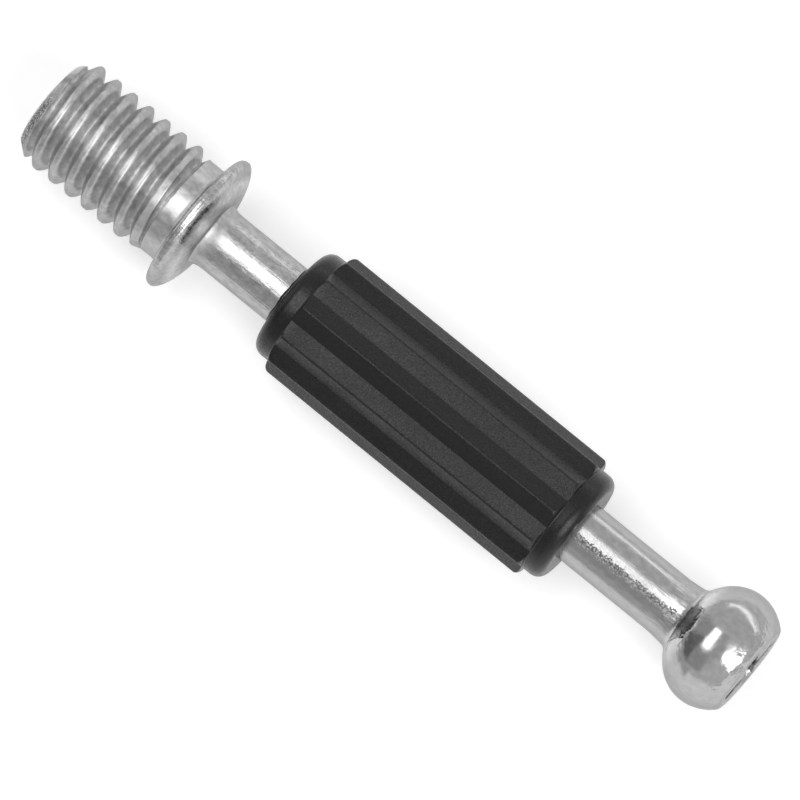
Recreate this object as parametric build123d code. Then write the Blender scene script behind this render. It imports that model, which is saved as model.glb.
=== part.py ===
from build123d import *
import math
import os

# A cam dowel lying on its side: a cold-headed steel bolt with a black plastic sleeve moulded on it.
# Everything is turned about the X axis. X = 0 is the collar's seating face, the threaded stud
# points towards -X, the ball head towards +X, and +Z is up. Sizes are in millimetres, angles in
# degrees, and an angle about the axis is counted from +Y towards +Z.

# Threaded stud, a metric coarse thread rolled on the blank
thread_diameter = 5.82
thread_pitch = 1.0
thread_flank_angle = 30.0
thread_depth_share = 17 / 24
thread_crest_share = 1 / 8
thread_is_left_hand = False
thread_start_angle = 65.4
thread_runout = 0.9
stud_length = 8.8
stud_end_inset = 0.05
stud_chamfer_angle = 40.0

# Plain neck between the thread and the collar, as wide as the blank was before rolling
neck_length = 1.1
neck_setback = 0.26
neck_root_cone = 0.39

# Collar that stops against the panel, with a bevelled seat edge and a domed back
collar_overhang = 1.06
collar_bevel_length = 0.2
collar_bevel_drop = 0.14
collar_crest_offset = 0.31
collar_thickness = 0.97
collar_dome_drop = 1.55
collar_hollow_length = 0.53

# Shank, bare between the collar and the sleeve, and again at the waist that the cam grips
shank_diameter = 3.12
bare_shank_length = 4.43
waist_length = 6.47
waist_flare_length = 1.0
waist_flare_rise = 0.1

# Head, an oblate ball cut off flat at its end
head_diameter = 6.23
head_underside_height = 2.5
head_topside_height = 2.6
head_flat_offset = 1.73
head_edge_fillet = 0.15
head_root_fillet = 0.18

# Cross recess in the flat end of the head
recess_land = 0.5
recess_wing_width = 0.95
recess_depth = 1.9
recess_tip_radius = 0.65
recess_point_depth = 0.35

# Sleeve, plain at both rims and ridged between them
sleeve_length = 17.55
sleeve_wall = 1.405
sleeve_end_bevel_length = 0.29
sleeve_end_bevel_drop = 0.45
thread_side_rim_length = 1.07
head_side_rim_length = 1.015
ridge_count = 12
ridge_height = 0.38
ridge_top_fillet = 0.15
ridge_end_bevel = 0.2
ridge_start_angle = 15.0
valley_rise = 0.07

# Short lip of plastic that creeps along the shank at the sleeve's thread side
lip_length = 0.2
lip_thickness = 0.15

# How far a tool or a ridge reaches past the surface that it meets
overrun = 0.1

# Turns of thread beyond each end, and the share of the thread's space that its ridge may fill
thread_lead = 0.5
least_thread_share = 0.2
most_thread_share = 0.8

# Degrees in a turn, and the angle at which a helix along X starts
full_turn = 360
helix_start_angle = 90

# Radii that follow from the sizes above
thread_radius = thread_diameter / 2
thread_sharp_height = thread_pitch / 2 / math.tan(math.radians(thread_flank_angle))
thread_depth = thread_sharp_height * thread_depth_share
core_radius = thread_radius - thread_depth
stud_end_radius = core_radius - stud_end_inset
neck_radius = thread_radius - neck_setback
collar_radius = neck_radius + collar_overhang
collar_foot_radius = collar_radius - collar_dome_drop
shank_radius = shank_diameter / 2
waist_top_radius = shank_radius + waist_flare_rise
head_radius = head_diameter / 2
head_flat_radius = head_radius * math.sqrt(1 - (head_flat_offset / head_topside_height) ** 2)
head_root_offset = head_underside_height * math.sqrt(1 - (waist_top_radius / head_radius) ** 2)
recess_radius = head_flat_radius - recess_land
rim_radius = shank_radius + sleeve_wall
valley_radius = rim_radius + valley_rise
ridge_radius = valley_radius + ridge_height

# Stations along the axis that follow from the sizes above
stud_end_x = -stud_length
neck_start_x = -neck_length
runout_start_x = neck_start_x - thread_runout
collar_end_x = collar_thickness + collar_hollow_length
sleeve_start_x = collar_end_x + bare_shank_length
sleeve_end_x = sleeve_start_x + sleeve_length
ridge_start_x = sleeve_start_x + thread_side_rim_length
ridge_end_x = sleeve_end_x - head_side_rim_length
head_start_x = sleeve_end_x + waist_length
head_centre_x = head_start_x + head_root_offset
head_end_x = head_centre_x + head_flat_offset


def turned(outline):
    """Turns a closed half-outline, drawn with its radius along Y, about the X axis."""
    return revolve(make_face(outline), Axis.X)


def chamfer_x(radius):
    """Returns the station at which the stud's end chamfer reaches a radius."""
    return stud_end_x + (radius - stud_end_radius) / math.tan(math.radians(stud_chamfer_angle))


def neck_outline():
    """Draws the blank's outline from a cone inside the stud to the crest of the collar."""
    return Polyline(
        (neck_start_x - neck_radius, 0),
        (neck_start_x, neck_radius),
        (-neck_root_cone, neck_radius),
        (0, neck_radius + neck_root_cone),
        (0, collar_radius - collar_bevel_drop),
        (collar_bevel_length, collar_radius),
        (collar_crest_offset, collar_radius),
    )


def collar_back_outline():
    """Draws the collar's domed back and the hollow that leads to the shank."""
    dome_centre = (collar_crest_offset, collar_foot_radius)
    dome_length = collar_thickness - collar_crest_offset
    hollow_centre = (collar_end_x, collar_foot_radius)
    hollow_height = collar_foot_radius - shank_radius
    dome = EllipticalCenterArc(dome_centre, dome_length, collar_dome_drop, 90, arc_size=-90)
    hollow = EllipticalCenterArc(
        hollow_centre, collar_hollow_length, hollow_height, 180, arc_size=90
    )
    return [dome, hollow]


def shank_outline():
    """Draws the shank and the flared waist up to the head."""
    return Polyline(
        (collar_end_x, shank_radius),
        (head_start_x - waist_flare_length, shank_radius),
        (head_start_x, waist_top_radius),
    )


def head_outline():
    """Draws the ball's outline from its foot over the equator to the flat end."""
    centre = (head_centre_x, 0)
    foot_angle = 180 - math.degrees(math.asin(waist_top_radius / head_radius))
    flat_angle = math.degrees(math.acos(head_flat_offset / head_topside_height))
    underside = EllipticalCenterArc(
        centre, head_underside_height, head_radius, foot_angle, arc_size=90 - foot_angle
    )
    topside = EllipticalCenterArc(
        centre, head_topside_height, head_radius, 90, arc_size=flat_angle - 90
    )
    end_face = Line((head_end_x, head_flat_radius), (head_end_x, 0))
    return [underside, topside, end_face]


def ring_edge(part, x, radius):
    """Picks the circular edge of a turned part that lies nearest a station and a radius."""
    circles = part.edges().filter_by(GeomType.CIRCLE)
    return min(circles, key=lambda e: math.hypot(e.arc_center.X - x, e.radius - radius))


def make_blank():
    """Makes the headed blank without its stud: neck, collar, shank, flared waist and head."""
    axis = Line((head_end_x, 0), (neck_start_x - neck_radius, 0))
    outline = Curve() + [
        neck_outline(), *collar_back_outline(), shank_outline(), *head_outline(), axis
    ]
    blank = turned(outline)
    blank = fillet(ring_edge(blank, head_start_x, waist_top_radius), head_root_fillet)
    return fillet(ring_edge(blank, head_end_x, head_flat_radius), head_edge_fillet)


def make_thread_ridge():
    """Makes the thread as one helical ridge that starts and ends outside the threaded length."""
    crest_half = thread_pitch * thread_crest_share / 2
    base_radius = core_radius - overrun
    flank_length = (thread_radius - base_radius) * math.tan(math.radians(thread_flank_angle))
    base_half = crest_half + flank_length
    start_x = stud_end_x - thread_lead * thread_pitch
    section = Plane.XZ * Polyline(
        (start_x - base_half, base_radius),
        (start_x - crest_half, thread_radius),
        (start_x + crest_half, thread_radius),
        (start_x + base_half, base_radius),
        close=True,
    )
    path = Helix(
        thread_pitch,
        neck_start_x - start_x + thread_lead * thread_pitch,
        thread_radius,
        center=(start_x, 0, 0),
        direction=(1, 0, 0),
        lefthand=thread_is_left_hand,
    )
    lead_angle = full_turn * thread_lead
    if thread_is_left_hand:
        lead_angle = -lead_angle
    turn = thread_start_angle - lead_angle - helix_start_angle
    return Rot(X=turn) * sweep(make_face(section), path, is_frenet=True)


def make_stud():
    """Makes the threaded stud, chamfered at its end and run out at the neck.

    The ridge is joined to a plain rod first and both are trimmed together, and a stud that
    comes out with no thread or with no groove stops the build.
    """
    rod_start = stud_end_x - thread_pitch
    rod_end = neck_start_x + neck_length / 2
    rod = Pos(X=(rod_start + rod_end) / 2) * Rot(Y=90) * Cylinder(core_radius, rod_end - rod_start)
    wide_radius = thread_radius + overrun
    runout_slope = (thread_radius - neck_radius) / thread_runout
    envelope = turned(
        Polyline(
            (stud_end_x, 0),
            (stud_end_x, stud_end_radius),
            (chamfer_x(wide_radius), wide_radius),
            (runout_start_x - overrun / runout_slope, wide_radius),
            (neck_start_x, neck_radius),
            (neck_start_x, 0),
            close=True,
        )
    )
    stud = (rod + make_thread_ridge()) & envelope
    threaded_length = neck_start_x - stud_end_x
    core_volume = math.pi * core_radius**2 * threaded_length
    full_volume = math.pi * thread_radius**2 * threaded_length
    filled_share = (stud.volume - core_volume) / (full_volume - core_volume)
    if not least_thread_share < filled_share < most_thread_share:
        raise ValueError("the thread was lost or filled in, so its sizes need a small change")
    return stud


def make_recess():
    """Makes the tool shape of the cross recess: four wings cut out of a cone with a point."""
    cone = turned(
        Polyline(
            (head_end_x + overrun, 0),
            (head_end_x + overrun, recess_radius),
            (head_end_x, recess_radius),
            (head_end_x - recess_depth, recess_tip_radius),
            (head_end_x - recess_depth - recess_point_depth, 0),
            close=True,
        )
    )
    length = 2 * (recess_depth + recess_point_depth + overrun)
    wings = Box(length, 2 * recess_radius, recess_wing_width)
    wings += Box(length, recess_wing_width, 2 * recess_radius)
    return cone & (Pos(X=head_end_x) * wings)


def make_bolt():
    """Makes the whole bolt in one piece of steel."""
    return make_blank() + make_stud() - make_recess()


def star_face():
    """Draws the ridged section as a star whose ridges are slightly rounded."""
    step = math.pi / ridge_count
    corners = []
    for k in range(ridge_count):
        top = 2 * k * step
        foot = top + step
        corners.append((ridge_radius * math.cos(top), ridge_radius * math.sin(top)))
        corners.append((valley_radius * math.cos(foot), valley_radius * math.sin(foot)))
    star = make_face(Polyline(*corners, close=True))
    tops = star.vertices().sort_by_distance((0, 0))[ridge_count:]
    return fillet(tops, ridge_top_fillet)


def barrel_outline(start_x, end_x, radius, bevel_length, bevel_drop):
    """Draws the half-outline of a solid barrel with both of its ends bevelled."""
    return Polyline(
        (start_x, 0),
        (start_x, radius - bevel_drop),
        (start_x + bevel_length, radius),
        (end_x - bevel_length, radius),
        (end_x, radius - bevel_drop),
        (end_x, 0),
        close=True,
    )


def make_ridges():
    """Makes the belt of long ridges, bevelled at both of its ends."""
    start = Plane.YZ.offset(ridge_start_x)
    belt = extrude(start * star_face(), ridge_end_x - ridge_start_x)
    size = (ridge_radius, ridge_end_bevel, ridge_end_bevel)
    envelope = turned(barrel_outline(ridge_start_x, ridge_end_x, *size))
    return Rot(X=ridge_start_angle) * belt & envelope


def make_sleeve():
    """Makes the plastic sleeve: a tube with bevelled rims, a lip and the belt of ridges."""
    size = (rim_radius, sleeve_end_bevel_length, sleeve_end_bevel_drop)
    tube = turned(barrel_outline(sleeve_start_x, sleeve_end_x, *size))
    lip = turned(
        Polyline(
            (sleeve_start_x - lip_length, 0),
            (sleeve_start_x - lip_length, shank_radius + lip_thickness / 2),
            (sleeve_start_x, shank_radius + lip_thickness),
            (sleeve_start_x + overrun, 0),
            close=True,
        )
    )
    bore = turned(
        Polyline(
            (sleeve_start_x - lip_length - overrun, 0),
            (sleeve_start_x - lip_length - overrun, shank_radius),
            (sleeve_end_x + overrun, shank_radius),
            (sleeve_end_x + overrun, 0),
            close=True,
        )
    )
    return tube + make_ridges() + lip - bore


os.makedirs("parts", exist_ok=True)
export_step(make_bolt(), "parts/bolt.step")
export_step(make_sleeve(), "parts/sleeve.step")
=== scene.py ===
"""Dresses a cam dowel: a zinc plated steel bolt with a black moulded sleeve, lying on its side.

Everything is in metres and in the frame of the CAD model: the dowel's axis is the X axis, X = 0 is
the collar's seating face, the threaded stud points towards -X and +Z is up. The bolt's turned
body, its thread and the ridged sleeve are made by Geometry Nodes from outlines worked out here.
"""

import logging
import math
from dataclasses import dataclass, field
from enum import Enum
from typing import Iterable, Sequence

import bmesh
import bpy
from mathutils import Matrix, Vector

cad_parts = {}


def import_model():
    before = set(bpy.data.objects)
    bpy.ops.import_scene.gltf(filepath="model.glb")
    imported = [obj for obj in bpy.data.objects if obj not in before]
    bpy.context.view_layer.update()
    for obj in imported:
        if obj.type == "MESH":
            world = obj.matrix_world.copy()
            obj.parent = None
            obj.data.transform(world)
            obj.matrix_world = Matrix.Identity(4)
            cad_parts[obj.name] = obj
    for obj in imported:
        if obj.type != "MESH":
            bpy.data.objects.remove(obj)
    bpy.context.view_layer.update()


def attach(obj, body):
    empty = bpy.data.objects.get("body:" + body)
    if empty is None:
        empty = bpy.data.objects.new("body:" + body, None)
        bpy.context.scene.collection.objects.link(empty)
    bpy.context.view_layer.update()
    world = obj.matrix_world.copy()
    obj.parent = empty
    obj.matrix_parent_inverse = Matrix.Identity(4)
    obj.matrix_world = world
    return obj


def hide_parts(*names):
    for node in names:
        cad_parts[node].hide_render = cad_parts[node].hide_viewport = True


MM: float = 0.001
FULL_TURN: float = 2 * math.pi
WELD_DISTANCE: float = 0.002 * MM
LAMP_POWER: float = 4  # the power of a lamp of one square metre and a radiance of one

Point = tuple[float, float]
Socket = bpy.types.NodeSocket

log = logging.getLogger("cam_dowel")


class Hand(Enum):
    """The hand of a thread, as the sign of its turn along +X."""

    RIGHT = 1
    LEFT = -1


class LampShape(Enum):
    """The outline of a soft lamp."""

    RECTANGLE = "RECTANGLE"
    OVAL = "ELLIPSE"


@dataclass(frozen=True)
class Pattern:
    """A noise pattern's scale, detail and roughness, and its scale along each axis if stretched."""

    scale: float = 1.0
    detail: float = 2.0
    rough: float = 0.5
    stretch: tuple[float, float, float] | None = None


# ---------------------------------------------------------------- outlines


def arc_points(
    centre: Point, size: Point, start: float, end: float, steps: int, fullness: float = 2.0
) -> list[Point]:
    """Returns the points of an elliptical arc in the plane of station and radius.

    Args:
        centre: The ellipse's centre as station and radius.
        size: The half axes along the station and along the radius.
        start: The first parameter angle in degrees, counted from +X towards larger radii.
        end: The last parameter angle in degrees.
        steps: The number of chords.
        fullness: How full the curve is: two for an ellipse, less where it comes nearer to a cone.

    Returns:
        The points from start to end, both included.
    """
    points = []
    for k in range(steps + 1):
        angle = math.radians(start + (end - start) * k / steps)
        x, r = (
            math.copysign(abs(share) ** (2 / fullness), share)
            for share in (math.cos(angle), math.sin(angle))
        )
        points.append((centre[0] + size[0] * x, centre[1] + size[1] * r))
    return points


def line_points(start: Point, end: Point, longest: float) -> list[Point]:
    """Returns evenly spaced points on a straight run, none further apart than a limit.

    Args:
        start: The first point as station and radius.
        end: The last point.
        longest: The longest step allowed.

    Returns:
        The points from start to end, both included.
    """
    steps = max(1, math.ceil(math.dist(start, end) / longest))
    return [
        (start[0] + (end[0] - start[0]) * k / steps, start[1] + (end[1] - start[1]) * k / steps)
        for k in range(steps + 1)
    ]


def joined(runs: Iterable[Sequence[Point]]) -> list[Point]:
    """Joins runs of points end to end and drops the points that repeat.

    Args:
        runs: The runs in order.

    Returns:
        One outline.
    """
    outline: list[Point] = []
    for run in runs:
        for point in run:
            if not outline or math.dist(outline[-1], point) > WELD_DISTANCE:
                outline.append(point)
    return outline


def softened(
    before: Sequence[Point], after: Sequence[Point], reach: float, steps: int = 6
) -> list[Point]:
    """Joins two runs that share a corner and rounds that corner.

    Args:
        before: The run that ends at the corner.
        after: The run that starts there.
        reach: How far from the corner the rounding starts on both runs.
        steps: The number of chords in the rounding.

    Returns:
        The two runs as one, with a parabola in place of the corner.
    """
    corner = after[0]
    head = [p for p in before if math.dist(p, corner) > reach]
    tail = [p for p in after if math.dist(p, corner) > reach]
    first = at_distance(corner, head[-1], reach)
    last = at_distance(corner, tail[0], reach)
    bridge = []
    for k in range(steps + 1):
        t = k / steps
        weights = ((1 - t) ** 2, 2 * t * (1 - t), t**2)
        bridge.append(
            tuple(sum(w * p[i] for w, p in zip(weights, (first, corner, last))) for i in (0, 1))
        )
    return [*head, *bridge, *tail]


def at_distance(corner: Point, towards: Point, reach: float) -> Point:
    """Returns the point at a distance from a corner on the way to another point."""
    share = reach / math.dist(corner, towards)
    return (
        corner[0] + (towards[0] - corner[0]) * share,
        corner[1] + (towards[1] - corner[1]) * share,
    )


# ---------------------------------------------------------------- node trees


class NodeGraph:
    """A small builder for node trees, so that a formula reads in the order it is worked out."""

    def __init__(self, tree: bpy.types.NodeTree) -> None:
        """Keeps the tree that the nodes go into."""
        self.tree = tree

    def add(self, kind: str, **settings: object) -> bpy.types.Node:
        """Adds a node.

        Args:
            kind: The node's type name.
            **settings: Values for the node's own properties.

        Returns:
            The new node.
        """
        node = self.tree.nodes.new(kind)
        for name, value in settings.items():
            setattr(node, name, value)
        return node

    def feed(self, socket: Socket, value: object) -> None:
        """Links an output to a socket, or sets the socket to a plain value."""
        if isinstance(value, Socket):
            self.tree.links.new(value, socket)
        else:
            socket.default_value = value

    def math(self, operation: str, *values: object) -> Socket:
        """Adds a Math node.

        Args:
            operation: The operation's name.
            *values: Its operands, each an output or a number.

        Returns:
            The result's socket.
        """
        node = self.add("ShaderNodeMath", operation=operation)
        for index, value in enumerate(values):
            self.feed(node.inputs[index], value)
        return node.outputs[0]

    def plus(self, first: object, second: object) -> Socket:
        """Adds two numbers."""
        return self.math("ADD", first, second)

    def minus(self, first: object, second: object) -> Socket:
        """Takes the second number from the first."""
        return self.math("SUBTRACT", first, second)

    def over(self, first: object, second: object) -> Socket:
        """Divides the first number by the second."""
        return self.math("DIVIDE", first, second)

    def times(self, product: object, *factors: object) -> Socket:
        """Multiplies numbers in their order."""
        for factor in factors:
            product = self.math("MULTIPLY", product, factor)
        return product

    def vector(self, x: object, y: object, z: object) -> Socket:
        """Adds a node that combines three numbers into a vector."""
        node = self.add("ShaderNodeCombineXYZ")
        for socket, value in zip(node.inputs, (x, y, z)):
            self.feed(socket, value)
        return node.outputs[0]

    def split(self, value: Socket) -> tuple[Socket, Socket, Socket]:
        """Adds a node that takes a vector apart into its three numbers."""
        node = self.add("ShaderNodeSeparateXYZ")
        self.feed(node.inputs[0], value)
        return node.outputs[0], node.outputs[1], node.outputs[2]

    def grey(self, tone: Socket) -> Socket:
        """Adds a node that makes a grey colour of a tone."""
        node = self.add("ShaderNodeCombineColor")
        for socket in node.inputs:
            self.feed(socket, tone)
        return node.outputs[0]

    def remap(
        self, value: object, low: float, high: float, to_low: float = 0.0, to_high: float = 1.0
    ) -> Socket:
        """Adds a clamped Map Range node from one range of numbers to another."""
        node = self.add("ShaderNodeMapRange", clamp=True)
        for socket, number in zip(node.inputs, (value, low, high, to_low, to_high)):
            self.feed(socket, number)
        return node.outputs[0]

    def noise(self, place: Socket, pattern: Pattern) -> Socket:
        """Adds a Noise Texture, after a Mapping node where the pattern is stretched."""
        if pattern.stretch is not None:
            mapping = self.add("ShaderNodeMapping")
            self.feed(mapping.inputs["Vector"], place)
            mapping.inputs["Scale"].default_value = pattern.stretch
            place = mapping.outputs[0]
        node = self.add("ShaderNodeTexNoise")
        self.feed(node.inputs["Vector"], place)
        self.feed(node.inputs["Scale"], pattern.scale)
        self.feed(node.inputs["Detail"], pattern.detail)
        self.feed(node.inputs["Roughness"], pattern.rough)
        return node.outputs[0]

    def bump(self, height: Socket, distance: float, under: Socket | None = None) -> Socket:
        """Adds a Bump node, laid over another one where that is given.

        Args:
            height: The height pattern.
            distance: The height in metres of a pattern value of one.
            under: The normal of the bump below this one.

        Returns:
            The bumped normal.
        """
        node = self.add("ShaderNodeBump")
        node.inputs["Strength"].default_value = 1.0
        node.inputs["Distance"].default_value = distance
        self.feed(node.inputs["Height"], height)
        if under is not None:
            self.feed(node.inputs["Normal"], under)
        return node.outputs[0]


class ShapeTree:
    """A Geometry Nodes tree with named inputs, run once and turned into a plain mesh."""

    def __init__(self, name: str, values: dict[str, float]) -> None:
        """Starts a tree that takes an outline in and gives a surface out.

        Args:
            name: The tree's name.
            values: A value for each named input, a whole number where the input counts something.
        """
        self.tree = bpy.data.node_groups.new(name, "GeometryNodeTree")
        self.values = values
        self.identifiers: dict[str, str] = {}
        interface, geometry = self.tree.interface, "NodeSocketGeometry"
        interface.new_socket("Geometry", in_out="INPUT", socket_type=geometry)
        interface.new_socket("Geometry", in_out="OUTPUT", socket_type=geometry)
        for label, value in values.items():
            kind = "NodeSocketInt" if isinstance(value, int) else "NodeSocketFloat"
            made = interface.new_socket(label, in_out="INPUT", socket_type=kind)
            self.identifiers[label] = made.identifier
        self.graph = NodeGraph(self.tree)
        source = self.graph.add("NodeGroupInput")
        self.outline = source.outputs["Geometry"]
        self.size = {label: source.outputs[label] for label in values}

    def grid(self, rows: Socket, columns: Socket) -> tuple[Socket, Socket, Socket]:
        """Adds a grid of points.

        Args:
            rows: The number of rows.
            columns: The number of points in a row.

        Returns:
            The grid, and for each of its points the row and the column.
        """
        g = self.graph
        grid = g.add("GeometryNodeMeshGrid")
        g.feed(grid.inputs["Vertices X"], rows)
        g.feed(grid.inputs["Vertices Y"], columns)
        index = g.add("GeometryNodeInputIndex").outputs[0]
        row = g.math("FLOOR", g.over(g.plus(index, 0.5), columns))
        return grid.outputs["Mesh"], row, g.minus(index, g.times(row, columns))

    def turned(self) -> tuple[Socket, Socket, Socket, Socket]:
        """Turns the outline about the X axis, by the inputs for segments and start angle.

        Returns:
            The grid, and for each of its points the station, the radius and the angle.
        """
        g, segments = self.graph, self.size["Segments"]
        count = g.add("GeometryNodeAttributeDomainSize", component="MESH")
        g.feed(count.inputs[0], self.outline)
        grid, row, column = self.grid(count.outputs["Point Count"], g.plus(segments, 1))
        sample = g.add("GeometryNodeSampleIndex", data_type="FLOAT_VECTOR", domain="POINT")
        g.feed(sample.inputs["Geometry"], self.outline)
        g.feed(sample.inputs["Value"], g.add("GeometryNodeInputPosition").outputs[0])
        g.feed(sample.inputs["Index"], row)
        station, radius, _ = g.split(sample.outputs[0])
        share = g.over(g.math("MODULO", column, segments), segments)
        return grid, station, radius, g.plus(self.size["Start angle"], g.times(share, FULL_TURN))

    def close(self, geometry: Socket, place: Socket, material: bpy.types.Material) -> None:
        """Sets the points' places, welds the seams and ends the tree.

        Args:
            geometry: The geometry to place.
            place: The field of places.
            material: The finish of the whole surface.
        """
        g = self.graph
        moved = g.add("GeometryNodeSetPosition")
        g.feed(moved.inputs["Geometry"], geometry)
        g.feed(moved.inputs["Position"], place)
        welded = g.add("GeometryNodeMergeByDistance")
        g.feed(welded.inputs["Geometry"], moved.outputs[0])
        g.feed(welded.inputs["Distance"], WELD_DISTANCE)
        real = g.add("GeometryNodeRealizeInstances")
        g.feed(real.inputs[0], welded.outputs[0])
        dressed = g.add("GeometryNodeSetMaterial")
        g.feed(dressed.inputs["Geometry"], real.outputs[0])
        dressed.inputs["Material"].default_value = material
        result = g.add("NodeGroupOutput")
        g.feed(result.inputs[0], dressed.outputs[0])

    def run(self, outline: Sequence[Point]) -> bpy.types.Mesh:
        """Runs the tree on an outline.

        Args:
            outline: Points as station and radius.

        Returns:
            The finished mesh.
        """
        seed = bpy.data.meshes.new(self.tree.name)
        seed.from_pydata([(x, r, 0) for x, r in outline], [], [])
        carrier = bpy.data.objects.new(self.tree.name, seed)
        bpy.context.scene.collection.objects.link(carrier)
        modifier = carrier.modifiers.new(self.tree.name, "NODES")
        modifier.node_group = self.tree
        for label, value in self.values.items():
            modifier[self.identifiers[label]] = value
        graph = bpy.context.evaluated_depsgraph_get()
        mesh = bpy.data.meshes.new_from_object(carrier.evaluated_get(graph))
        carrier.modifiers.remove(modifier)
        bpy.data.objects.remove(carrier)
        return mesh


def around_axis(graph: NodeGraph, station: Socket, radius: Socket, angle: Socket) -> Socket:
    """Returns the place at a station, a radius and an angle from +Y towards +Z."""
    y = graph.times(radius, graph.math("COSINE", angle))
    z = graph.times(radius, graph.math("SINE", angle))
    return graph.vector(station, y, z)


# ---------------------------------------------------------------- finishes


def new_material(
    name: str, shader_kind: str = "ShaderNodeBsdfPrincipled"
) -> tuple[bpy.types.Material, NodeGraph, bpy.types.Node]:
    """Makes an empty node material.

    Args:
        name: The material's name.
        shader_kind: The type name of its shader node.

    Returns:
        The material, a builder for its nodes and its shader node.
    """
    material = bpy.data.materials.new(name)
    material.use_nodes = True
    material.node_tree.nodes.clear()
    graph = NodeGraph(material.node_tree)
    shader = graph.add(shader_kind)
    output = graph.add("ShaderNodeOutputMaterial")
    graph.feed(output.inputs["Surface"], shader.outputs[0])
    return material, graph, shader


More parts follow.
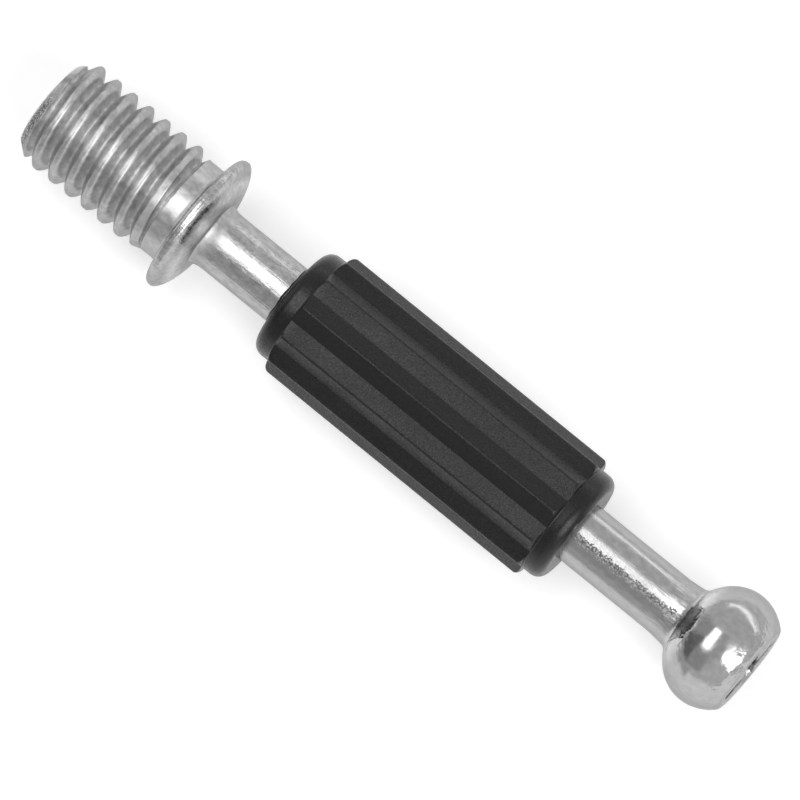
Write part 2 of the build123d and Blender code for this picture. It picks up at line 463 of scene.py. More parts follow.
@dataclass(frozen=True)
class PlatedSteel:
    """Zinc plating over drawn, cold-headed and thread-rolled steel.

    The plating is satin on the stud and on the collar's back, streaked and mottled on the drawn
    shank, and bright over the dents and small folds of the pressed head. Its colour is painted
    paler in the thread's roots, by the collar and under the head, a painted fill light that lifts
    the shade and dark reflections there, and it is dull where it is rubbed: on a line along the
    shank and at the edge of the stud's end. A zone says where something starts and where it is
    in full, and a pair of shares is the part of a pattern's range that is in use.
    """

    dark_tone: float = 0.34
    light_tone: float = 0.50
    tone_shares: Point = (0.32, 0.68)
    # Painted fill light: how much paler the colour is painted in the shaded hollows.
    painted_fill_paleness: float = 0.70
    stud_metal: float = 0.93
    edge_tint: float = 0.6
    smooth: float = 0.15
    rough: float = 0.25
    gloss_shares: Point = (0.35, 0.65)
    stud_roughness: float = 0.14
    head_gloss: float = 0.03
    streaks: Pattern = Pattern(1.0, 4.0, 0.65, (500, 7000, 7000))
    streak_height: float = 0.016 * MM
    flare_streaks: float = 5.0
    mottle: Pattern = Pattern(1.0, 4.0, 0.6, (2600, 3600, 3600))
    mottle_height: float = 0.010 * MM
    grain: Pattern = Pattern(14000, 3.0, 0.6)
    grain_height: float = 0.0022 * MM
    dents: Pattern = Pattern(700, 0.6, 0.4)
    dent_height: float = 0.12 * MM
    folds: Pattern = Pattern(1700)
    fold_height: float = 0.09 * MM
    foot_folds: Point = (31.2 * MM, 30.5 * MM)
    end_folds: Point = (32.9 * MM, 33.4 * MM)
    specks: Pattern = Pattern(11000, 2.0, 0.55)
    speck_shares: Point = (0.42, 0.68)
    scuff_dulling: float = 0.80
    scuff_roughness: float = 0.20
    scuff_grain: float = 3.0
    even_zone: Point = (10 * MM, 23 * MM)
    even_share: float = 0.4
    stud_zone: Point = (0.1 * MM, -0.3 * MM)
    # Zones and radii of the painted fill light in the thread, by the collar and under the head.
    collar_painted_fill: Point = (1.15 * MM, 0.85 * MM)
    head_painted_fill_rise: Point = (29.8 * MM, 30.1 * MM)
    head_painted_fill_fade: Point = (31.4 * MM, 30.8 * MM)
    painted_fill_radii: Point = (2.72 * MM, 2.22 * MM)
    collar_back: Point = (0.40 * MM, 0.60 * MM)
    collar_back_reach: float = 0.65 * MM
    collar_satin: float = 0.22
    satin_back: Point = (0.62 * MM, 0.80 * MM)
    satin_end: Point = (2.1 * MM, 1.6 * MM)
    scuff_zone: Point = (23.0 * MM, 24.0 * MM)
    scuff_place: float = -0.60 * MM
    scuff_width: float = 0.30 * MM
    scuff_fray: float = 1.6
    scuff_edge: Point = (0.45, 0.55)
    worn_zone: Point = (-8.25 * MM, -8.5 * MM)
    worn_front: Point = (0.5 * MM, -1.0 * MM)
    worn_radii: Point = (2.20 * MM, 2.35 * MM)
    flare_zone: Point = (28.0 * MM, 29.3 * MM)
    head_zone: Point = (29.4 * MM, 30.6 * MM)

    def material(self) -> bpy.types.Material:
        """Makes the finish from the bolt's zones, its patterns and its rubbed places."""
        material, g, shader = new_material("zinc_plated_steel")
        place = g.add("ShaderNodeTexCoord").outputs["Object"]
        station, front, height = g.split(place)
        off_axis = g.add("ShaderNodeVectorMath", operation="LENGTH")
        g.feed(off_axis.inputs[0], g.vector(0.0, front, height))
        radius = off_axis.outputs["Value"]
        on_stud = g.remap(station, *self.stud_zone)
        on_head = g.remap(station, *self.head_zone)
        off_head = g.minus(1.0, on_head)
        evenness = g.remap(station, *self.even_zone, 1.0, self.even_share)
        mottle = g.times(g.minus(g.noise(place, self.mottle), 0.5), evenness)
        mottle = g.plus(0.5, mottle)
        specks = g.noise(place, self.specks)
        line = g.times(self.scuff(g, front, height, specks), off_head)
        worn_end = g.times(
            g.remap(station, *self.worn_zone),
            g.remap(front, *self.worn_front),
            g.remap(radius, *self.worn_radii),
        )
        rubbed = g.math("MAXIMUM", g.times(line, g.remap(station, *self.scuff_zone)), worn_end)
        dulled = g.times(rubbed, g.remap(specks, *self.speck_shares, self.scuff_dulling, 0.0))
        tone = g.remap(mottle, *self.tone_shares, self.dark_tone, self.light_tone)
        # Painted fill light: the tone is made paler in the thread's roots, by the collar and under
        # the head, to lift their shade and dark reflections.
        paleness = g.plus(1.0, self.painted_fill_light(g, station, radius))
        g.feed(shader.inputs["Base Color"], g.grey(g.times(tone, paleness, g.minus(1.0, dulled))))
        g.feed(shader.inputs["Metallic"], g.remap(on_stud, 0.0, 1.0, 1.0, self.stud_metal))
        shader.inputs["Specular Tint"].default_value = (*(self.edge_tint,) * 3, 1)
        satin = g.times(g.remap(station, *self.satin_back), g.remap(station, *self.satin_end))
        roughness = g.remap(mottle, *self.gloss_shares, self.smooth, self.rough)
        for mask, change in (
            (on_stud, self.stud_roughness),
            (on_head, -self.head_gloss),
            (rubbed, self.scuff_roughness),
            (satin, self.collar_satin),
        ):
            roughness = g.plus(roughness, g.times(mask, change))
        g.feed(shader.inputs["Roughness"], roughness)
        by_rims = g.plus(g.remap(station, *self.foot_folds), g.remap(station, *self.end_folds))
        flare = g.remap(station, *self.flare_zone, 1.0, self.flare_streaks)
        drawn = g.times(g.minus(off_head, on_stud), flare, evenness)
        worn_grain = g.remap(rubbed, 0.0, 1.0, 1.0, self.scuff_grain)
        normal = None
        for relief, depth in (
            (g.times(g.noise(place, self.dents), on_head), self.dent_height),
            (g.times(g.noise(place, self.folds), g.times(by_rims, on_head)), self.fold_height),
            (g.times(g.noise(place, self.streaks), drawn), self.streak_height),
            (mottle, self.mottle_height),
            (g.times(g.noise(place, self.grain), worn_grain), self.grain_height),
        ):
            normal = g.bump(relief, depth, normal)
        g.feed(shader.inputs["Normal"], normal)
        return material

    def painted_fill_light(self, g: NodeGraph, station: Socket, radius: Socket) -> Socket:
        """Returns the painted fill light that makes the thread's roots and both shoulders paler.

        Args:
            g: The material's builder.
            station: The place along the axis.
            radius: The distance from the axis.

        Returns:
            The share to add to the tone.
        """
        # The colour is painted paler where shade and dark reflections fall: deep in the thread, on
        # the collar's back and under the head.
        by_collar = g.remap(station, *self.collar_painted_fill)
        on_back = g.times(by_collar, g.remap(station, *self.collar_back))
        depth = g.minus(radius, g.times(on_back, self.collar_back_reach))
        inside = g.remap(depth, *self.painted_fill_radii, 0.0, self.painted_fill_paleness)
        under_head = g.remap(station, *self.head_painted_fill_fade)
        by_head = g.times(under_head, g.remap(station, *self.head_painted_fill_rise))
        return g.times(inside, g.math("MAXIMUM", by_collar, by_head))

    def scuff(self, g: NodeGraph, front: Socket, height: Socket, specks: Socket) -> Socket:
        """Returns the mask of the rubbed line along the shank, just in front of its top.

        Args:
            g: The material's builder.
            front: The place along Y.
            height: The place along Z.
            specks: The specks that fray the line's edges.

        Returns:
            One on the line and zero off it.
        """
        frayed = g.plus(front, g.times(g.minus(specks, 0.5), self.scuff_width * self.scuff_fray))
        off_line = g.math("ABSOLUTE", g.minus(frayed, self.scuff_place))
        inner, outer = (self.scuff_width * share for share in self.scuff_edge)
        on_line = g.remap(off_line, inner, outer, 1.0, 0.0)
        return g.times(on_line, g.math("GREATER_THAN", height, 0.0))


@dataclass(frozen=True)
class MouldedPlastic:
    """Black moulded plastic: smooth rims, and ridges with a spark-eroded mould's coarse grain."""

    tone: float = 0.0055
    tone_spread: Point = (0.75, 1.35)
    tone_shares: Point = (0.3, 0.7)
    shine: float = 0.35
    smooth: float = 0.18
    rough: float = 0.40
    gloss_shares: Point = (0.35, 0.65)
    grain: Pattern = Pattern(7500, 3.0, 0.7)
    grain_height: float = 0.034 * MM
    fine_grain: Pattern = Pattern(15000, 2.0, 0.6)
    fine_height: float = 0.004 * MM
    patches: Pattern = Pattern(1.0, 3.0, stretch=(250, 700, 700))
    patch_shares: Point = (0.35, 0.6)
    least_grain: float = 0.5
    rim_smoothness: float = 0.8
    middle_x: float = 14.73 * MM
    grained_reach: Point = (7.3 * MM, 7.8 * MM)

    def material(self) -> bpy.types.Material:
        """Makes the finish from coarse and fine grain that comes and goes in long patches."""
        material, g, shader = new_material("black_moulded_plastic")
        place = g.add("ShaderNodeTexCoord").outputs["Object"]
        grain = g.noise(place, self.grain)
        darkest, lightest = (self.tone * share for share in self.tone_spread)
        tone = g.remap(grain, *self.tone_shares, darkest, lightest)
        g.feed(shader.inputs["Base Color"], g.grey(tone))
        shader.inputs["Specular IOR Level"].default_value = self.shine
        roughness = g.remap(grain, *self.gloss_shares, self.smooth, self.rough)
        g.feed(shader.inputs["Roughness"], roughness)
        station, _, _ = g.split(place)
        from_middle = g.math("ABSOLUTE", g.minus(station, self.middle_x))
        belt = g.remap(from_middle, *self.grained_reach, 1.0, 1.0 - self.rim_smoothness)
        patches = g.noise(place, self.patches)
        strength = g.times(g.remap(patches, *self.patch_shares, self.least_grain, 1.0), belt)
        normal = g.bump(g.times(grain, strength), self.grain_height)
        fine = g.noise(place, self.fine_grain)
        g.feed(shader.inputs["Normal"], g.bump(fine, self.fine_height, normal))
        return material


@dataclass(frozen=True)
class PaleFloor:
    """A plain pale floor that shows white, with the object's soft shadow on it."""

    tone: float = 0.70
    lift: float = 0.50
    roughness: float = 0.9

    def material(self) -> bpy.types.Material:
        """Makes a matt floor that is lifted to white for the camera and in reflections."""
        material, g, shader = new_material("pale_floor")
        shader.inputs["Base Color"].default_value = (self.tone, self.tone, self.tone, 1)
        shader.inputs["Roughness"].default_value = self.roughness
        shader.inputs["Specular IOR Level"].default_value = 0.0
        shader.inputs["Emission Color"].default_value = (1, 1, 1, 1)
        g.feed(shader.inputs["Emission Strength"], g.times(seen_ray(g), self.lift))
        return material


def seen_ray(graph: NodeGraph) -> Socket:
    """Returns one for the rays that show a background: camera, glossy and transmission rays."""
    path = graph.add("ShaderNodeLightPath")
    either = graph.math("MAXIMUM", path.outputs["Is Camera Ray"], path.outputs["Is Glossy Ray"])
    return graph.math("MAXIMUM", either, path.outputs["Is Transmission Ray"])


# ---------------------------------------------------------------- the object


def linked(name: str, mesh: bpy.types.Mesh, material: bpy.types.Material) -> bpy.types.Object:
    """Makes an object at the origin from a mesh and a material, and links it to the scene."""
    mesh.materials.append(material)
    made = bpy.data.objects.new(name, mesh)
    bpy.context.scene.collection.objects.link(made)
    return made


def finished_object(
    name: str, surfaces: Sequence[bpy.types.Mesh], material: bpy.types.Material, edge_angle: float
) -> bpy.types.Object:
    """Makes one closed object with outward normals, smooth but for its sharp edges.

    Args:
        name: The piece's name.
        surfaces: The meshes that share their rims, which are removed.
        material: Its finish.
        edge_angle: The angle in degrees above which an edge stays sharp.

    Returns:
        The object, linked to the scene.
    """
    shell = bmesh.new()
    for surface in surfaces:
        shell.from_mesh(surface)
        bpy.data.meshes.remove(surface)
    bmesh.ops.remove_doubles(shell, verts=shell.verts, dist=WELD_DISTANCE)
    bmesh.ops.recalc_face_normals(shell, faces=shell.faces)
    for face in shell.faces:
        face.material_index = 0
    open_edges = sum(1 for edge in shell.edges if not edge.is_manifold)
    log.info("%s: %d faces, %d open edges", name, len(shell.faces), open_edges)
    mesh = bpy.data.meshes.new(name)
    shell.to_mesh(mesh)
    shell.free()
    mesh.shade_smooth()
    mesh.set_sharp_from_angle(angle=math.radians(edge_angle))
    return linked(name, mesh, material)


@dataclass
class Stud:
    """The threaded stud: a metric coarse thread with a chamfered end and a run-out."""

    diameter: float = 5.82 * MM
    pitch: float = 1.0 * MM
    flank_angle: float = math.radians(30)
    depth_share: float = 17 / 24
    crest_share: float = 0.27
    hand: Hand = Hand.RIGHT
    start_angle: float = math.radians(65.4)
    length: float = 8.8 * MM
    end_inset: float = 0.05 * MM
    chamfer_angle: float = math.radians(40)
    runout: float = 0.9 * MM
    neck_length: float = 1.1 * MM
    neck_radius: float = 2.65 * MM
    neck_overlap: float = 0.3 * MM
    crest_round: float = 0.42 * MM
    root_round: float = 0.12 * MM
    seam_width: float = 0.18 * MM
    seam_depth: float = 0.04 * MM
    seam_pattern: Pattern = Pattern(1300)
    seam_shares: Point = (0.35, 0.65)
    seam_wear: Point = (0.2, 1.3)
    lead: int = 2
    segments: int = 144
    samples: int = 32

    @property
    def radius(self) -> float:
        """The crest radius."""
        return self.diameter / 2

    @property
    def depth(self) -> float:
        """The depth from crest to root."""
        return self.pitch / 2 / math.tan(self.flank_angle) * self.depth_share

    @property
    def joint_x(self) -> float:
        """The station where the stud's surface ends and the turned body's starts."""
        return self.neck_overlap - self.neck_length

    def inputs(self) -> dict[str, float]:
        """Returns a value for each named input of the thread's tree."""
        start_x = -self.length - self.lead * self.pitch
        return {
            "Segments per turn": self.segments,
            "Samples per pitch": self.samples,
            "Turns": math.ceil((self.joint_x - start_x) / self.pitch + 0.5),
            "Hand": float(self.hand.value),
            "Pitch": self.pitch,
            "Crest radius": self.radius,
            "Depth": self.depth,
            "Start": start_x,
            "Start angle": self.start_angle,
            "End face": -self.length,
            "End radius": self.radius - self.depth - self.end_inset,
            "Neck": -self.neck_length,
            "Neck radius": self.neck_radius,
            "Runout": self.runout,
            "Joint": self.joint_x,
        }

    def profile(
        self, g: NodeGraph, size: dict[str, Socket], across: Socket, wear: Socket
    ) -> Socket:
        """Returns the thread's radius from the share of a pitch across it.

        Args:
            g: The tree's builder.
            size: The tree's inputs.
            across: The share of a pitch, with the crest at one half.
            wear: How far open the seam along the rolled crest is, as a factor.

        Returns:
            The radius, rounded at crest and root.
        """
        pitch, radius = size["Pitch"], size["Crest radius"]
        from_crest = g.times(g.math("ABSOLUTE", g.minus(across, 0.5)), pitch)
        crest_half = g.times(pitch, self.crest_share / 2)
        drop = g.over(g.minus(from_crest, crest_half), math.tan(self.flank_angle))
        crested = g.math("SMOOTH_MIN", g.minus(radius, drop), radius, self.crest_round)
        seam = g.remap(from_crest, 0.0, self.seam_width / 2, self.seam_depth, 0.0)
        folded = g.minus(crested, g.times(seam, wear))
        return g.math("SMOOTH_MAX", folded, g.minus(radius, size["Depth"]), self.root_round)

    def trimmed(self, g: NodeGraph, size: dict[str, Socket], x: Socket, ridge: Socket) -> Socket:
        """Returns the thread's radius cut by its end chamfer, its run-out and its end face.

        Args:
            g: The tree's builder.
            size: The tree's inputs.
            x: The station, which goes on past the end face.
            ridge: The radius before it is cut.

        Returns:
            The radius, which falls to zero past the end face.
        """
        radius, neck_radius, end_x = size["Crest radius"], size["Neck radius"], size["End face"]
        slope = g.times(g.minus(x, end_x), math.tan(self.chamfer_angle))
        chamfer = g.plus(size["End radius"], slope)
        past_runout = g.minus(x, g.minus(size["Neck"], size["Runout"]))
        fall = g.over(g.minus(radius, neck_radius), size["Runout"])
        fading = g.minus(radius, g.times(past_runout, fall))
        shoulder = g.minus(neck_radius, g.minus(size["Neck"], x))
        shoulder = g.math("MINIMUM", shoulder, neck_radius)
        cut = g.math("MINIMUM", ridge, g.math("MINIMUM", chamfer, fading))
        outside = g.math("MAXIMUM", cut, shoulder)
        past_end = g.over(g.minus(end_x, x), g.times(size["Pitch"], 0.5))
        disc = g.times(size["End radius"], g.math("MAXIMUM", g.minus(1.0, past_end), 0.0))
        on_disc = g.math("LESS_THAN", x, end_x)
        return g.plus(g.times(outside, g.minus(1.0, on_disc)), g.times(disc, on_disc))

    def mesh(self, material: bpy.types.Material) -> bpy.types.Mesh:
        """Makes the thread as one strip wound along the axis, closed at its end face.

        Args:
            material: The steel's finish.

        Returns:
            The stud's surface, open at the neck.
        """
        shape = ShapeTree("rolled_thread", self.inputs())
        g, size = shape.graph, shape.size
        segments, samples = size["Segments per turn"], size["Samples per pitch"]
        rows = g.plus(g.times(size["Turns"], segments), 1)
        grid, row, column = shape.grid(rows, g.plus(samples, 1))
        across = g.over(column, samples)
        wound = g.over(row, segments)
        along = g.minus(g.plus(wound, across), 0.5)
        x = g.plus(size["Start"], g.times(along, size["Pitch"]))
        turn = g.times(g.math("FRACT", wound), FULL_TURN, size["Hand"])
        angle = g.plus(size["Start angle"], turn)
        seam = g.noise(around_axis(g, x, size["Crest radius"], angle), self.seam_pattern)
        wear = g.remap(seam, *self.seam_shares, *self.seam_wear)
        radius = self.trimmed(g, size, x, self.profile(g, size, across, wear))
        station = g.math("MINIMUM", g.math("MAXIMUM", x, size["End face"]), size["Joint"])
        shape.close(grid, around_axis(g, station, radius, angle), material)
        return shape.run([(0.0, 0.0)])


@dataclass
class Recess:
    """The cross recess in the flat end of the head."""

    mouth_radius: float = 1.825 * MM
    wing_width: float = 0.95 * MM
    depth: float = 1.9 * MM
    tip_radius: float = 0.65 * MM
    tip_wing_width: float = 0.80 * MM
    point_depth: float = 0.35 * MM
    edge: float = 0.04 * MM
    steps: int = 5

    def ring(self, radius: float, width: float) -> list[Point]:
        """Returns the cross-shaped outline of the recess at one depth.

        Args:
            radius: The wings' outer radius.
            width: The wings' width.

        Returns:
            Points across the axis, in order round it.
        """
        half = width / 2
        reach = math.asin(half / radius)
        outline: list[Point] = []
        for quarter in range(4):
            middle = quarter * FULL_TURN / 4
            for k in range(self.steps + 1):
                outline.append(on_circle(radius, middle - reach + 2 * reach * k / self.steps))
            outline.append(on_circle(half * math.sqrt(2), middle + FULL_TURN / 8))
        return outline

    def mesh(self, end_x: float, rim_radius: float, segments: int, phase: float) -> bpy.types.Mesh:
        """Makes the flat end inside a rim, with the recess sunk into it.

        Args:
            end_x: The station of the flat end.
            rim_radius: The radius of the rim that the turned body ends at.
            segments: The number of points on the rim.
            phase: The angle of the rim's first point.

        Returns:
            The surface, open at the rim.
        """
        shell = bmesh.new()
        levels = (
            (0.0, self.mouth_radius + self.edge, self.wing_width + 2 * self.edge),
            (self.edge, self.mouth_radius, self.wing_width),
            (self.depth, self.tip_radius, self.tip_wing_width),
        )
        rings = [
            [shell.verts.new((end_x - depth, y, z)) for y, z in self.ring(radius, width)]
            for depth, radius, width in levels
        ]
        tip = shell.verts.new((end_x - self.depth - self.point_depth, 0, 0))
        for upper, lower in zip(rings, rings[1:]):
            for k, vertex in enumerate(upper):
                after = (k + 1) % len(upper)
                shell.faces.new((vertex, upper[after], lower[after], lower[k]))
        for vertex, after in neighbours(rings[-1]):
            shell.faces.new((vertex, after, tip))
        rim = [
            shell.verts.new((end_x, *on_circle(rim_radius, phase + FULL_TURN * k / segments)))
            for k in range(segments)
        ]
        edges = [shell.edges.new(pair) for pair in neighbours(rim)]
        edges += [shell.edges.get(pair) for pair in neighbours(rings[0])]
        bmesh.ops.triangle_fill(shell, use_beauty=True, edges=edges)
        mesh = bpy.data.meshes.new("recessed_end")
        shell.to_mesh(mesh)
        shell.free()
        return mesh


def on_circle(radius: float, angle: float) -> Point:
    """Returns the Y and Z of a point on a circle about the axis."""
    return radius * math.cos(angle), radius * math.sin(angle)


def neighbours(ring: Sequence[bmesh.types.BMVert]) -> list[tuple]:
    """Returns each corner of a closed ring with the one after it."""
    return [(corner, ring[(k + 1) % len(ring)]) for k, corner in enumerate(ring)]


@dataclass
class HeadedBody:
    """The bolt's turned body: neck, collar, shank, flared waist and ball head."""

    neck_fillet: float = 0.39 * MM
    collar_radius: float = 3.71 * MM
    collar_edge: Point = (0.28 * MM, 0.2 * MM)
    collar_crest_x: float = 0.34 * MM
    collar_thickness: float = 1.08 * MM
    collar_dome_drop: float = 1.91 * MM
    collar_dome_fullness: float = 1.6
    collar_hollow_length: float = 0.70 * MM
    shank_radius: float = 1.56 * MM
    foot_x: float = 29.95 * MM
    flare_length: float = 1.0 * MM
    flare_rise: float = 0.1 * MM
    head_radius: float = 3.115 * MM
    underside_height: float = 2.5 * MM
    topside_height: float = 2.6 * MM
    flat_offset: float = 1.73 * MM
    foot_round: float = 0.24 * MM
    edge_round: float = 0.14 * MM
    end_rim_radius: float = 2.05 * MM
    step: float = 0.4 * MM
    flare_fineness: int = 6
    flat_fineness: int = 8
    neck_chords: int = 8
    edge_chords: int = 12
    dome_chords: int = 40
    hollow_chords: int = 14
    underside_chords: int = 44
    topside_chords: int = 36

    @property
    def collar_end_x(self) -> float:
        """The station where the collar's hollow meets the shank."""
        return self.collar_thickness + self.collar_hollow_length

    @property
    def collar_foot_radius(self) -> float:
        """The radius where the collar's domed back turns into its hollow."""
        return self.collar_radius - self.collar_dome_drop

    @property
    def centre_x(self) -> float:
        """The station of the ball's widest circle."""
        foot_radius = self.shank_radius + self.flare_rise
        share = math.sqrt(1 - (foot_radius / self.head_radius) ** 2)
        return self.foot_x + self.underside_height * share

    @property
    def end_x(self) -> float:
        """The station of the head's flat end."""
        return self.centre_x + self.flat_offset

    def outline(self, stud: Stud) -> list[Point]:
        """Returns the outline from the stud's neck to the rim on the head's flat end."""
        fillet, dome_foot = self.neck_fillet, self.collar_foot_radius
        neck = line_points((stud.joint_x, stud.neck_radius), (-fillet, stud.neck_radius), self.step)
        root_centre = (-fillet, stud.neck_radius + fillet)
        root = arc_points(root_centre, (fillet, fillet), 270, 360, self.neck_chords)
        edge_centre = (self.collar_edge[0], self.collar_radius - self.collar_edge[1])
        edge = arc_points(edge_centre, self.collar_edge, 180, 90, self.edge_chords)
        dome_centre = (self.collar_crest_x, dome_foot)
        dome_size = (self.collar_thickness - self.collar_crest_x, self.collar_dome_drop)
        fullness = self.collar_dome_fullness
        dome = arc_points(dome_centre, dome_size, 90, 0, self.dome_chords, fullness)
        hollow_centre = (self.collar_end_x, dome_foot)
        hollow_size = (self.collar_hollow_length, dome_foot - self.shank_radius)
        hollow = arc_points(hollow_centre, hollow_size, 180, 270, self.hollow_chords)
        waist = (self.foot_x - self.flare_length, self.shank_radius)
        shank = line_points(hollow[-1], waist, self.step)
        return joined((neck, root, edge, dome, hollow, shank, *self.head_runs(shank[-1])))

    def head_runs(self, waist: Point) -> tuple[list[Point], list[Point]]:
        """Returns the outline from the waist over the ball to the rim on its flat end.

        Args:
            waist: The point where the waist starts to flare.

        Returns:
            The run up to the ball's widest circle and the run from there to the rim.
        """
        foot = (self.foot_x, self.shank_radius + self.flare_rise)
        flare = line_points(waist, foot, self.step / self.flare_fineness)
        ball = (self.centre_x, 0.0)
        foot_angle = 180 - math.degrees(math.asin(foot[1] / self.head_radius))
        flat_angle = math.degrees(math.acos(self.flat_offset / self.topside_height))
        under_size = (self.underside_height, self.head_radius)
        underside = arc_points(ball, under_size, foot_angle, 90, self.underside_chords)
        top_size = (self.topside_height, self.head_radius)
        topside = arc_points(ball, top_size, 90, flat_angle, self.topside_chords)
        rim = (self.end_x, self.end_rim_radius)
        flat = line_points(topside[-1], rim, self.step / self.flat_fineness)
        footed = softened(flare, underside, self.foot_round)
        return footed, softened(topside, flat, self.edge_round)

    def mesh(self, stud: Stud, material: bpy.types.Material) -> bpy.types.Mesh:
        """Turns the outline about the axis.

        Args:
            stud: The stud, whose rim the body starts at.
            material: The steel's finish.

        Returns:
            The body's surface, open at both of its rims.
        """
        inputs = {"Segments": stud.segments, "Start angle": stud.start_angle}
        shape = ShapeTree("turned_body", inputs)
        grid, station, radius, angle = shape.turned()
        shape.close(grid, around_axis(shape.graph, station, radius, angle), material)
        return shape.run(self.outline(stud))


@dataclass
class Bolt:
    """The whole bolt in one piece of steel."""

    stud: Stud = field(default_factory=Stud)
    body: HeadedBody = field(default_factory=HeadedBody)
    recess: Recess = field(default_factory=Recess)
    finish: PlatedSteel = field(default_factory=PlatedSteel)
    edge_angle: float = 34

    def build(self) -> bpy.types.Object:
        """Builds the bolt in place of its CAD node."""
        stud, body, steel = self.stud, self.body, self.finish.material()
        surfaces = (
            stud.mesh(steel),
            body.mesh(stud, steel),
            self.recess.mesh(body.end_x, body.end_rim_radius, stud.segments, stud.start_angle),
        )
        piece = finished_object("plated_bolt", surfaces, steel, self.edge_angle)
        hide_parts("bolt")
        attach(piece, "root")
        return piece


@dataclass
class Sleeve:
    """The black sleeve: plain rounded rims and a belt of long ridges between them."""

    start_x: float = 5.93 * MM
    length: float = 17.55 * MM
    bore_radius: float = 1.56 * MM
    rim_radius: float = 2.965 * MM
    end_round: Point = (0.60 * MM, 0.53 * MM)
    start_rim: float = 1.07 * MM
    end_rim: float = 1.015 * MM
    ridge_count: int = 12
    valley_radius: float = 3.035 * MM
    ridge_radius: float = 3.415 * MM
    ridge_round: float = 0.135 * MM
    ridge_end_round: float = 0.33 * MM
    ridge_foot_round: float = 0.09 * MM
    ridge_start_angle: float = math.radians(15)
    lip_length: float = 0.19 * MM
    lip_thickness: float = 0.15 * MM
    lip_raggedness: float = 0.16 * MM
    lip_pattern: Pattern = Pattern(2.2, 4.0, 0.6)
    lip_level: float = 0.45
    lip_seed: float = 3.0
    segments: int = 384
    step: float = 0.5 * MM
    round_chords: int = 12
    foot_chords: int = 6
    edge_angle: float = 30
    finish: MouldedPlastic = field(default_factory=MouldedPlastic)

    def outline(self) -> list[Point]:
        """Returns the sleeve's outline with its ridges as a full belt, from bore round to bore."""
        end_x = self.start_x + self.length
        ridge_start, ridge_end = self.start_x + self.start_rim, end_x - self.end_rim
        lip_x = self.start_x - self.lip_length
        round_x, round_r = self.end_round
        foot_r = self.rim_radius - round_r
        top_r, turn = self.ridge_radius - self.ridge_end_round, self.ridge_end_round
        foot, floor_r = self.ridge_foot_round, self.rim_radius + self.ridge_foot_round
        top_start, top_end = ridge_start + turn, ridge_end - turn
        chords, foot_chords = self.round_chords, self.foot_chords
        lip = [
            (lip_x, self.bore_radius),
            (lip_x, self.bore_radius + self.lip_thickness / 2),
            (self.start_x, self.bore_radius + self.lip_thickness),
        ]
        return joined(
            (
                lip,
                line_points(lip[-1], (self.start_x, foot_r), self.step),
                arc_points((self.start_x + round_x, foot_r), self.end_round, 180, 90, chords),
                arc_points((ridge_start - foot, floor_r), (foot, foot), 270, 360, foot_chords),
                [(ridge_start, top_r)],
                arc_points((top_start, top_r), (turn, turn), 180, 90, chords),
                line_points(
                    (top_start, self.ridge_radius), (top_end, self.ridge_radius), self.step
                ),
                arc_points((top_end, top_r), (turn, turn), 90, 0, chords),
                arc_points((ridge_end + foot, floor_r), (foot, foot), 180, 270, foot_chords),
                arc_points((end_x - round_x, foot_r), self.end_round, 90, 0, chords),
                line_points((end_x, foot_r), (end_x, self.bore_radius), self.step),
                [lip[0]],
            )
        )

    def ridged_radius(self, g: NodeGraph, angle: Socket, size: dict[str, Socket]) -> Socket:
        """Returns the radius of the ridged section, whose ridges have straight flanks.

        Args:
            g: The tree's builder.
            angle: The angle about the axis.
            size: The tree's inputs.

        Returns:
            The radius at that angle, rounded on the ridges' tops.
        """
        half = g.over(math.pi, size["Ridges"])
        from_top = g.math("PINGPONG", g.minus(angle, size["First ridge"]), half)
        near = self.flank(g, from_top, half, size)
        far = self.flank(g, g.times(from_top, -1.0), half, size)
        return g.math("SMOOTH_MIN", near, far, size["Ridge round"])

    def flank(self, g: NodeGraph, angle: Socket, half: Socket, size: dict[str, Socket]) -> Socket:
        """Returns the radius of a straight flank from ridge to valley at an angle from the ridge."""
        top, valley = size["Ridge radius"], size["Valley radius"]
        above = g.times(top, valley, g.math("SINE", half))
        to_valley = g.times(valley, g.math("SINE", g.minus(half, angle)))
        return g.over(above, g.plus(to_valley, g.times(top, g.math("SINE", angle))))

    def mesh(self, material: bpy.types.Material) -> bpy.types.Mesh:
        """Turns the outline and cuts the ridges into its belt.

        Args:
            material: The plastic's finish.

        Returns:
            The sleeve's closed surface.
        """
        shape = ShapeTree("ridged_sleeve", self.inputs())
        g, size = shape.graph, shape.size
        grid, station, radius, angle = shape.turned()
        cut = g.math("MINIMUM", radius, self.ridged_radius(g, angle, size))
        round_trip = g.vector(g.math("COSINE", angle), g.math("SINE", angle), size["Seed"])
        wave = g.minus(g.noise(round_trip, self.lip_pattern), self.lip_level)
        on_lip = g.math("LESS_THAN", station, g.plus(size["Lip face"], WELD_DISTANCE))
        ragged = g.minus(station, g.times(wave, size["Raggedness"], on_lip))
        shape.close(grid, around_axis(g, ragged, cut, angle), material)
        return shape.run(self.outline())

    def inputs(self) -> dict[str, float]:
        """Returns a value for each named input of the sleeve's tree."""
        return {
            "Segments": self.segments,
            "Start angle": 0.0,
            "Ridges": self.ridge_count,
            "First ridge": self.ridge_start_angle,
            "Ridge radius": self.ridge_radius,
            "Valley radius": self.valley_radius,
            "Ridge round": self.ridge_round,
            "Lip face": self.start_x - self.lip_length,
            "Raggedness": self.lip_raggedness,
            "Seed": self.lip_seed,
        }

    def build(self) -> bpy.types.Object:
        """Builds the sleeve in place of its CAD node."""
        plastic = self.finish.material()
        surfaces = (self.mesh(plastic),)
        piece = finished_object("moulded_sleeve", surfaces, plastic, self.edge_angle)
        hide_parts("sleeve")
        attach(piece, "root")
        return piece


# ---------------------------------------------------------------- the studio


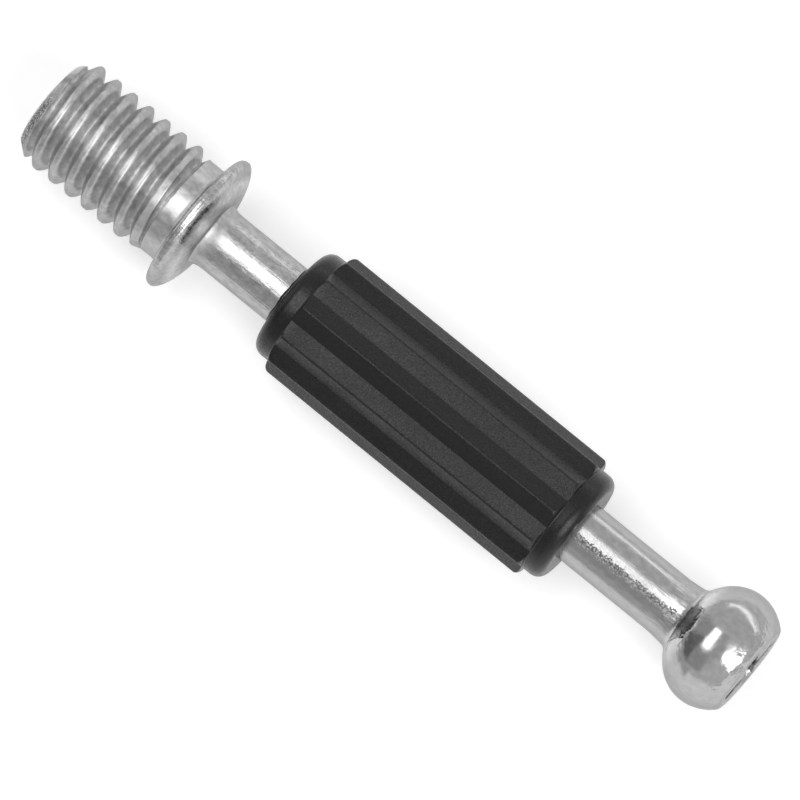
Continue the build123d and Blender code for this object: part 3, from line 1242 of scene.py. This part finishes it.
@dataclass
class Viewpoint:
    """The photograph's camera, a long lens almost square to the dowel."""

    tilt: float = math.radians(7.15)
    spin: float = math.radians(15)
    roll: float = math.radians(39.089)
    distance: float = 552 * MM
    pixels_per_metre: float = 21292
    aimed_x: float = 12.966 * MM
    offset: float = 0.478 * MM
    image_size: int = 800
    sensor: float = 36.0
    nearest: float = 0.1
    furthest: float = 10.0

    def build(self) -> bpy.types.Object:
        """Builds the camera and makes it the scene's own."""
        back = leaned(self.tilt, self.spin)
        axis = Vector((1, 0, 0))
        along = (axis - back * axis.dot(back)).normalized()
        across = along.cross(back)
        right = math.cos(self.roll) * along - math.sin(self.roll) * across
        up = -math.sin(self.roll) * along - math.cos(self.roll) * across
        data = bpy.data.cameras.new("packshot_camera")
        data.sensor_width = self.sensor
        data.lens = self.sensor * self.pixels_per_metre * self.distance / self.image_size
        data.clip_start, data.clip_end = self.nearest, self.furthest
        camera = bpy.data.objects.new("packshot_camera", data)
        place = axis * self.aimed_x + across * self.offset + back * self.distance
        turn = Matrix((right, up, back)).transposed()
        camera.matrix_world = Matrix.Translation(place) @ turn.to_4x4()
        bpy.context.scene.collection.objects.link(camera)
        bpy.context.scene.camera = camera
        return camera


def leaned(along: float, forwards: float) -> Vector:
    """Returns the upright direction leaned towards the head's end and then to the front."""
    return Vector(
        (
            math.sin(along),
            -math.cos(along) * math.sin(forwards),
            math.cos(along) * math.cos(forwards),
        )
    )


@dataclass
class Board:
    """A flat board that faces the dowel, placed by how far it leans from straight above.

    Angles are in degrees: lean_x towards the head's end, lean_y towards the front, and the halves
    are the angles that the board spans each way as seen from the dowel. The distance is from the
    origin, and a radiance of one shows as white.
    """

    name: str
    lean_x: float
    lean_y: float
    half_x: float
    half_y: float
    radiance: float
    distance: float = 0.45

    @property
    def size(self) -> Point:
        """The board's width and height."""
        halves = (math.radians(half) for half in (self.half_x, self.half_y))
        return tuple(2 * self.distance * math.tan(half) for half in halves)

    def turn(self) -> Matrix:
        """Returns the board's place and direction, with its back along +Z."""
        back = leaned(math.radians(self.lean_x), math.radians(self.lean_y))
        across = (Vector((1, 0, 0)) - back * back.x).normalized()
        axes = Matrix((across, back.cross(across), back)).transposed()
        return Matrix.Translation(back * self.distance) @ axes.to_4x4()


@dataclass
class Softbox(Board):
    """A board that is a soft lamp."""

    shape: LampShape = LampShape.RECTANGLE

    def build(self) -> None:
        """Builds the lamp, which the camera itself doesn't see."""
        data = bpy.data.lights.new(self.name, "AREA")
        data.shape = self.shape.value
        data.size, data.size_y = self.size
        data.energy = LAMP_POWER * self.radiance * self.size[0] * self.size[1]
        lamp = bpy.data.objects.new(self.name, data)
        lamp.matrix_world = self.turn()
        lamp.visible_camera = False
        bpy.context.scene.collection.objects.link(lamp)


@dataclass
class GreyCard(Board):
    """A board that is only there to be mirrored in the metal."""

    def build(self) -> None:
        """Builds the card, which neither the camera sees nor the floor is lit or shaded by."""
        half_width, half_height = (length / 2 for length in self.size)
        corners = ((-1, -1), (1, -1), (1, 1), (-1, 1))
        places = [self.turn() @ Vector((x * half_width, y * half_height, 0)) for x, y in corners]
        mesh = bpy.data.meshes.new(self.name)
        mesh.from_pydata(places, [], [(3, 2, 1, 0)])
        card = linked(self.name, mesh, self.material())
        card.visible_camera = card.visible_diffuse = card.visible_shadow = False
        card.visible_transmission = card.visible_volume_scatter = False

    def material(self) -> bpy.types.Material:
        """Makes an even glow of the card's radiance."""
        material, _, glow = new_material(self.name, "ShaderNodeEmission")
        glow.inputs["Strength"].default_value = self.radiance
        return material


@dataclass
class Studio:
    """Floor, surroundings, lamps, cards and camera."""

    floor_z: float = -3.712 * MM
    floor_size: float = 3.0
    ambient: float = 0.45
    floor: PaleFloor = field(default_factory=PaleFloor)
    viewpoint: Viewpoint = field(default_factory=Viewpoint)
    boards: tuple[Board, ...] = (
        Softbox("stud_end_softbox", -17, 12, 14, 19.5, 2.4),
        Softbox("head_end_softbox", 46, 20, 24, 18, 2.2, shape=LampShape.OVAL),
        Softbox("back_strip_light", 0, -69, 36, 4, 1.2),
        GreyCard("front_card", -15, 56, 26, 21, 0.49),
        GreyCard("front_flag", -52, 52, 15, 25, 0.20, 0.44),
        GreyCard("back_card", 0, -37, 60, 21, 0.74),
        GreyCard("front_skirting", -12, 92, 60, 17, 0.60, 0.018),
        GreyCard("middle_card", 9, 12, 12.5, 22, 0.60, 0.46),
        GreyCard("stud_side_card", -60, 12, 26, 22, 0.50),
        GreyCard("stud_end_skirting", -98, 0, 14, 45, 0.20, 0.022),
        GreyCard("stud_near_card", -60, 12, 18, 25, 1.25, 0.016),
    )

    def build(self) -> None:
        """Builds everything that isn't part of the dowel."""
        self.build_floor()
        self.build_surroundings()
        for board in self.boards:
            board.build()
        self.viewpoint.build()
        bpy.context.scene.view_settings.view_transform = "Standard"

    def build_floor(self) -> None:
        """Builds the pale floor under the collar's lowest point."""
        half = self.floor_size / 2
        mesh = bpy.data.meshes.new("floor")
        corners = ((-half, -half), (half, -half), (half, half), (-half, half))
        mesh.from_pydata([(x, y, self.floor_z) for x, y in corners], [], [(0, 1, 2, 3)])
        floor = linked("floor", mesh, self.floor.material())

    def build_surroundings(self) -> None:
        """Builds a world that is seen and mirrored as white and lights the dowel gently."""
        world = bpy.data.worlds.new("studio")
        world.use_nodes = True
        world.node_tree.nodes.clear()
        g = NodeGraph(world.node_tree)
        background = g.add("ShaderNodeBackground")
        seen = g.times(seen_ray(g), 1.0 - self.ambient)
        g.feed(background.inputs["Strength"], g.plus(self.ambient, seen))
        output = g.add("ShaderNodeOutputWorld")
        g.feed(output.inputs["Surface"], background.outputs[0])
        bpy.context.scene.world = world


def main() -> None:
    """Builds the dowel and the studio and reports each piece."""
    logging.basicConfig(level=logging.INFO, format="%(name)s: %(message)s")
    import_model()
    for part in (Bolt(), Sleeve()):
        piece = part.build()
        triangles = sum(len(face.vertices) - 2 for face in piece.data.polygons)
        log.info("%s: %d triangles", piece.name, triangles)
    Studio().build()
    log.info("studio: floor, surroundings, lamps, cards and camera")


if __name__ == "__main__":
    main()
